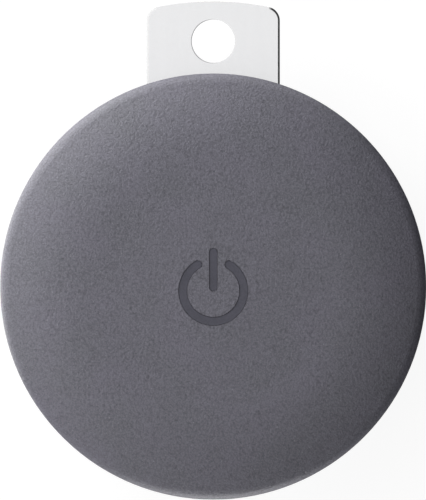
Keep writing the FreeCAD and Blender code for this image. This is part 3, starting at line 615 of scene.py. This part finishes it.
def spring_ring():
    """Silicone ring with a waist round its outside."""
    low, high = corners_of("cap_spring_ring")
    outer, inner = high.x, 15.95
    high.z -= 0.03
    middle = (low.z + high.z) / 2
    ring = disc("spring_ring", outer, low.z, high.z, sides=160)
    pick("faces", lambda m, f: abs(f.normal.z) > 0.5)
    bpy.ops.mesh.inset(thickness=(outer - inner) * MM)
    bpy.ops.mesh.bridge_edge_loops()
    for level in (low.z + 0.18, middle, high.z - 0.18):
        bpy.ops.mesh.select_all(action="SELECT")
        bpy.ops.mesh.bisect(plane_co=(0, 0, level * MM), plane_no=(0, 0, 1))
    pick("verts", lambda m, v: abs(m.z - middle) < 0.01
         and math.hypot(m.x, m.y) > (outer + inner) / 2)
    bpy.ops.transform.resize(value=(0.9925, 0.9925, 1), center_override=(0, 0, 0))
    pick("edges", lambda m, e: sharp(m, e))
    round_off(0.05, 2)
    shut(finishes["silicone"])
    complete(ring, "chassis", "silicone", "cap_spring_ring", angle=50)
    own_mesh(ring)


def snap_dome():
    """Thin domed steel disc, turned from a flat one."""
    low, high = corners_of("switch_dome")
    thick = 0.06
    dome = disc("snap_dome", high.x, low.z, low.z + thick, sides=64)
    for ring in (0.25, 0.2, 0.2, 0.2):
        pick("faces", lambda m, f: abs(f.normal.z) > 0.5 and math.hypot(m.x, m.y) < 0.01)
        bpy.ops.mesh.inset(thickness=ring * MM)
    rise = high.z - low.z - thick
    mesh = bmesh.from_edit_mesh(dome.data)
    for ring in sorted({round(math.hypot(v.co.x, v.co.y) / MM, 3) for v in mesh.verts}):
        pick("verts", lambda m, v: abs(math.hypot(m.x, m.y) - ring) < 0.01)
        lift = rise * (1 - (ring / high.x) ** 2)
        bpy.ops.transform.translate(value=(0, 0, lift * MM))
    shut(finishes["contact_steel"])
    complete(dome, "chassis", "contact_steel", "switch_dome", angle=60)
    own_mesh(dome)


def sounder_fingers():
    """Two bent spring strips that reach up to the sounder."""
    low, high = corners_of("piezo_fingers")
    strip = block("strip", (-0.45, -1.9, 0), (0.45, -0.45, 0.1))
    for along, up in ((1.65, 0.41), (0.12, 0.055), (0.42, 0.0)):
        pick("faces", lambda m, f: f.normal.y > 0.5)
        bpy.ops.mesh.extrude_region_move(TRANSFORM_OT_translate={
            "value": (0, along * MM, up * MM)})
    pick("verts", lambda m, v: m.y > 1.6)
    bpy.ops.transform.translate(value=(0, 0, 0.06 * MM))
    pick("edges", lambda m, e: sharp(m, e) and abs(m.x) > 0.4)
    round_off(0.02, 2)
    shut(finishes["contact_gold"])
    middle = (low + high) / 2
    fingers = joined("sounder_fingers", copied(strip, [
        (side * FINGER_AT, middle.y, low.z, 0) for side in (-1, 1)]))
    complete(fingers, "chassis", "contact_gold", "piezo_fingers")
    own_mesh(fingers)


# ---------------------------------------------------------------- parts on the board
def chip_with_caps(finish, long, wide, high, cap, soft=0.03):
    """A two-ended chip lying along X at the origin: ceramic body and plated end caps round it."""
    proud = 0.015
    body = block("chip", (-long / 2 + proud, -wide / 2 + proud, proud),
                 (long / 2 - proud, wide / 2 - proud, high - proud))
    pick("edges", lambda m, e: not upright(m, e) and abs(m.y) > 0.1)
    round_off(soft * 0.7, 2)
    shut(finishes[finish])
    end = block("end_cap", (long / 2 - cap, -wide / 2, 0), (long / 2, wide / 2, high))
    pick("edges", lambda m, e: m.x > long / 2 - 0.01)
    round_off(soft, 2)
    shut(tin)
    return joined("chip", [body] + copied(end, [(0, 0, 0, 0), (0, 0, 0, 180)]))


def two_ended_chips(node, slot, cap):
    """Every chip of a CAD node, remade with end caps from one pattern."""
    boxes = separate_boxes(node)
    sizes = [sorted((high[0] - low[0], high[1] - low[1])) for low, high in boxes]
    (wide, long), tall = sizes[0], boxes[0][1][2] - boxes[0][0][2]
    places = [((low[0] + high[0]) / 2, (low[1] + high[1]) / 2, low[2],
               90 if high[1] - low[1] > high[0] - low[0] else 0) for low, high in boxes]
    pattern = chip_with_caps(slot, long, wide, tall, cap)
    complete(joined(node + "_made", copied(pattern, places)), "chassis", slot, node)


def radio_chip():
    """Moulded chip with a pin-one dimple and a row of lead ends along the foot of each side."""
    low, high = corners_of("radio_chip")
    middle = (low + high) / 2
    case = block("radio_case", low + Vector((0.02, 0.02, 0.02)), high - Vector((0.02, 0.02, 0)))
    pick("edges", lambda m, e: m.z > high.z - 0.01 or upright(m, e))
    round_off(0.06, 2)
    shut(finishes["chip_black"])
    dimple = disc("dimple", 0.22, high.z - 0.05, high.z + 1,
                  at=(low.x + 0.6, high.y - 0.6), sides=32)
    shut()
    cut(case, dimple)
    lead = block("lead", (-0.12, -0.10, 0), (0.12, 0.10, 0.2))
    pick("edges", lambda m, e: m.z > 0.19)
    round_off(0.03, 2)
    shut(tin)
    reach, places = (high.x - low.x) / 2 - 0.10, []
    for step in range(-3, 4):
        for turn in (0, 90, 180, 270):
            spot = Matrix.Rotation(math.radians(turn), 3, "Z") @ Vector((step * 0.5, -reach, 0))
            places.append((middle.x + spot.x, middle.y + spot.y, low.z, turn))
    complete(joined("radio_case", [case] + copied(lead, places)), "chassis", "chip_black",
             "radio_chip")


def crystal(node, rim):
    """Ceramic tray under a seam-welded metal lid that stands in from the tray's edge."""
    low, high = corners_of(node)
    can = block(node + "_made", low, high)
    tray = low.z + 0.45 * (high.z - low.z)
    bpy.ops.mesh.select_all(action="SELECT")
    bpy.ops.mesh.bisect(plane_co=(0, 0, tray * MM), plane_no=(0, 0, 1))
    pick("verts", lambda m, v: m.z > high.z - 0.01)
    bpy.ops.transform.translate(value=(0, 0, (tray - high.z) * MM + 0.02 * MM))
    pick("faces", lambda m, f: f.normal.z > 0.5)
    bpy.ops.mesh.inset(thickness=rim * MM)
    bpy.ops.mesh.extrude_region_move(TRANSFORM_OT_translate={
        "value": (0, 0, (high.z - tray - 0.02) * MM)})
    paint_second(can, lambda m, f: m.z < tray)
    pick("edges", lambda m, e: sharp(m, e) and (m.z > high.z - 0.01 or upright(m, e)))
    round_off(0.07, 3)
    shut(finishes["crystal_metal"], finishes["chip_black"])
    complete(can, "chassis", "crystal_metal", node)


def inductor():
    """Ferrite frame with cut corners round a wound drum, on two plated feet."""
    low, high = corners_of("boost_inductor")
    middle = (low + high) / 2
    ferrite = block("inductor_made", low + Vector((0.03, 0.03, 0.05)),
                        high - Vector((0.03, 0.03, 0.06)))
    pick("edges", upright)
    round_off(0.45, 1)
    shut(finishes["ferrite"])
    well = disc("well", 1.25, low.z + 0.3, high.z + 1, at=(middle.x, middle.y), sides=64)
    shut()
    cut(ferrite, well)
    reopen(ferrite)
    pick("edges", lambda m, e: sharp(m, e) and m.z > high.z - 0.08)
    round_off(0.05, 2)
    shut()
    drum = disc("drum", 1.1, low.z + 0.25, high.z, at=(middle.x, middle.y), sides=64)
    pick("edges", lambda m, e: m.z > high.z - 0.01)
    round_off(0.05, 2)
    shut(finishes["ferrite"])
    foot = block("foot", (-0.35, -0.9, 0), (0.35, 0.9, 0.09))
    pick("edges", lambda m, e: m.z > 0.08)
    round_off(0.03, 2)
    shut(tin)
    feet = copied(foot, [(middle.x - 1.14, middle.y, low.z, 0),
                         (middle.x + 1.14, middle.y, low.z, 180)])
    complete(joined("inductor_made", [ferrite, drum] + feet), "chassis", "ferrite",
             "boost_inductor")


def status_light():
    """White base with plated ends under a lens with sloping sides."""
    low, high = corners_of("status_led")
    middle = (low + high) / 2
    base = chip_with_caps("antenna_ceramic", high.x - low.x, high.y - low.y, 0.22, 0.3, soft=0.02)
    base = copied(base, [(middle.x, middle.y, low.z, 0)])[0]
    lens = block("lens", (low.x + 0.32, low.y + 0.03, low.z + 0.2),
                 (high.x - 0.32, high.y - 0.03, high.z))
    pick("faces", lambda m, f: f.normal.z > 0.5)
    bpy.ops.transform.resize(value=(0.82, 0.86, 1),
                             center_override=(middle.x * MM, middle.y * MM, high.z * MM))
    pick("edges", lambda m, e: m.z > low.z + 0.25)
    round_off(0.04, 3)
    shut(finishes["led_resin"])
    complete(joined("light_made", [base, lens]), "chassis", "led_resin", "status_led")


def transistor():
    """Moulded body that narrows above and below its middle, on three bent legs."""
    low, high = corners_of("driver_transistor")
    middle = (low + high) / 2
    half_long, half_wide, foot = 1.45, 0.65, low.z + 0.08
    case = block("transistor_made", (middle.x - half_long, middle.y - half_wide, foot),
                 (middle.x + half_long, middle.y + half_wide, high.z))
    waist = (foot + high.z) / 2
    bpy.ops.mesh.select_all(action="SELECT")
    bpy.ops.mesh.bisect(plane_co=(0, 0, waist * MM), plane_no=(0, 0, 1))
    pick("verts", lambda m, v: abs(m.z - waist) > 0.1)
    bpy.ops.transform.resize(value=(0.95, 0.88, 1),
                             center_override=(middle.x * MM, middle.y * MM, waist * MM))
    pick("edges", lambda m, e: sharp(m, e) and m.z > waist)
    round_off(0.03, 2)
    shut(finishes["chip_black"])
    leg = block("leg", (-0.2, -0.62, 0), (0.2, -0.3, 0.1))
    pick("faces", lambda m, f: f.normal.y > 0.5)
    bpy.ops.mesh.extrude_region_move(TRANSFORM_OT_translate={
        "value": (0, 0.12 * MM, (waist - low.z - 0.05) * MM)})
    bpy.ops.mesh.extrude_region_move(TRANSFORM_OT_translate={"value": (0, 0.3 * MM, 0)})
    pick("edges", lambda m, e: sharp(m, e))
    round_off(0.02, 2)
    shut(tin)
    apart, out = 0.95, 0.59
    legs = copied(leg, [(middle.x - apart, middle.y - out, low.z, 0),
                        (middle.x + apart, middle.y - out, low.z, 0),
                        (middle.x, middle.y + out, low.z, 180)])
    complete(joined("transistor_made", [case] + legs), "chassis", "chip_black",
             "driver_transistor")


def board_metal():
    """Gilt test points, and solder fillets at the inductor and at the feet of the fingers."""
    low, high = corners_of("main_board")
    point = disc("point", 0.45, 0, 0.035, sides=32)
    pick("faces", lambda m, f: f.normal.z > 0.5)
    bpy.ops.mesh.inset(thickness=0.08 * MM)
    bpy.ops.mesh.extrude_region_move(TRANSFORM_OT_translate={"value": (0, 0, -0.012 * MM)})
    shut(finishes["contact_gold"])
    spots = [(9.5 - 1.5 * step, -9.2 + 0.4 * step) for step in range(4)]
    spots += [(-10.4, 6.6), (-11.6, 1.6), (11.4, -2.6), (11.8, 2.6), (0.0, 12.4)]
    points = copied(point, [(x, y, high.z, 0) for x, y in spots])
    complete(joined("test_points", points), "chassis", "contact_gold")
    bead = block("bead", (-0.5, -0.16, 0), (0.5, 0.16, 0.13))
    pick("faces", lambda m, f: f.normal.z > 0.5)
    bpy.ops.transform.resize(value=(0.8, 0.3, 1), center_override=(0, 0, 0.13 * MM))
    pick("edges", lambda m, e: sharp(m, e) and m.z > 0.01)
    round_off(0.03, 2)
    shut(tin)
    coil_low, coil_high = corners_of("boost_inductor")
    coil_y, out = (coil_low.y + coil_high.y) / 2, 0.17
    finger_y = corners_of("piezo_fingers")[0].y - out
    beads = copied(bead, [(x, y, high.z, turn) for x, y, turn in (
        (-FINGER_AT, finger_y, 0), (FINGER_AT, finger_y, 0),
        (coil_low.x - out, coil_y, 90), (coil_high.x + out, coil_y, 90))])
    complete(joined("solder_fillets", beads), "chassis", "contact_steel")


def cell_mark():
    """Plus sign pressed into relief on the positive face of the cell."""
    low, high = corners_of("coin_cell_can")
    across, bar, level, relief = 1.1, 0.2, -5, 0.02
    mark = block("cell_mark", (-across, level - bar, low.z - relief),
                 (across, level + bar, low.z + relief))
    for side in (-1, 1):
        bpy.ops.mesh.select_all(action="SELECT")
        bpy.ops.mesh.bisect(plane_co=(side * bar * MM, 0, 0), plane_no=(1, 0, 0))
    for side in (-1, 1):
        pick("faces", lambda m, f: f.normal.y * side > 0.5 and abs(m.x) < 0.1)
        bpy.ops.mesh.extrude_region_move(TRANSFORM_OT_translate={
            "value": (0, side * (across - bar) * MM, 0)})
    pick("edges", lambda m, e: sharp(m, e) and m.z < low.z)
    round_off(0.015, 2)
    shut(finishes["cell_steel"])
    complete(mark, "coin_cell", "cell_steel")


pull_tab()
foam_disc()
spring_ring()
snap_dome()
sounder_fingers()
two_ended_chips("chip_capacitors", "capacitor_ceramic", 0.24)
two_ended_chips("chip_resistors", "resistor_black", 0.2)
two_ended_chips("chip_antenna", "antenna_ceramic", 0.5)
radio_chip()
crystal("radio_crystal", 0.12)
crystal("clock_crystal", 0.12)
inductor()
status_light()
transistor()
board_metal()
cell_mark()


# ---------------------------------------------------------------- stage, light and camera
def stage_piece(name, shine, **seen):
    """Names the newest mesh, gives it its finish and sets which rays see it."""
    piece = bpy.context.object
    piece.name = name
    piece.data.materials.append(shine)
    for ray, visible in seen.items():
        setattr(piece, f"visible_{ray}", visible)


def floor():
    """White paper under the tag. It is clear from below, so the back of the tag can be seen."""
    bpy.ops.object.select_all(action="DESELECT")
    bpy.ops.mesh.primitive_plane_add(size=3, location=(0, 0, cad_box[0][2] - 0.02 * MM))
    paper = Finish("floor_paper")
    fibre = paper.noise(60, detail=3)
    paper.wear(paper.tint(fibre, (0.145, 0.145, 0.146), (0.155, 0.155, 0.155)),
               0.85 + fibre * 0.1, fibre, 0.01)
    paper.join(paper.shader.inputs["Emission Color"], (1, 1, 1))
    paper.join(paper.shader.inputs["Emission Strength"], 0.885)
    below = paper.node("ShaderNodeNewGeometry").out("Backfacing")
    clear = paper.node("ShaderNodeBsdfTransparent")
    both = paper.node("ShaderNodeMixShader", {},
                      {0: below, 1: Field(paper, paper.shader.outputs[0]), 2: clear})
    paper.join(paper.tree.nodes["Material Output"].inputs["Surface"], both)
    stage_piece("floor", paper.material, diffuse=False, glossy=False, shadow=False)


def surroundings():
    """Pale studio all round, which only the camera sees, so it doesn't light the tag."""
    world = bpy.data.worlds.new("surroundings")
    world.use_nodes = True
    world.node_tree.nodes["Background"].inputs["Color"].default_value = (0.93, 0.935, 0.94, 1)
    bpy.context.scene.world = world
    world.cycles_visibility.diffuse = False
    world.cycles_visibility.glossy = False


def softbox(name, azimuth, elevation, power):
    """A square light that faces the tag from a direction given in degrees, azimuth from +X."""
    across, up = math.radians(azimuth), math.radians(elevation)
    way = Vector((math.cos(across) * math.cos(up), math.sin(across) * math.cos(up), math.sin(up)))
    lamp = bpy.data.lights.new(name, "AREA")
    lamp.size, lamp.energy, away = 0.3, power, 0.45
    holder = bpy.data.objects.new(name, lamp)
    bpy.context.scene.collection.objects.link(holder)
    holder.location = Vector((0, 0, 5 * MM)) + way * away
    holder.rotation_euler = (-way).to_track_quat("-Z", "Y").to_euler()
    holder.visible_camera = False


def studio():
    """Soft light from the upper left. The boxes below the table stand for its white bounce."""
    softbox("key", 135, 20, 1.97)
    softbox("left", 180, 20, 0.87)
    softbox("back", 90, 20, 0.67)
    softbox("lower_left", 225, 40, 0.52)
    softbox("overhead", 315, 65, 0.47)
    softbox("bounce_key", 135, -20, 1.47)
    softbox("bounce_left", 180, -40, 1.16)
    softbox("bounce_front", 270, -20, 1.71)
    softbox("bounce_back", 90, -20, 0.68)


def camera():
    """Square on to the front cap, from straight above, with a long lens."""
    eye = bpy.data.cameras.new("camera")
    eye.lens, eye.sensor_width = 200, 36
    eye.clip_start, eye.clip_end = 0.01, 10
    holder = bpy.data.objects.new("camera", eye)
    bpy.context.scene.collection.objects.link(holder)
    view_height, widest_level, aim_x, aim_y = 42.25, 5.3, -0.02, 3.085
    distance = view_height * eye.lens / eye.sensor_width
    holder.location = Vector((aim_x, aim_y, widest_level + distance)) * MM
    bpy.context.scene.camera = holder


floor()
surroundings()
studio()
camera()
bpy.context.scene.view_settings.view_transform = "Standard"
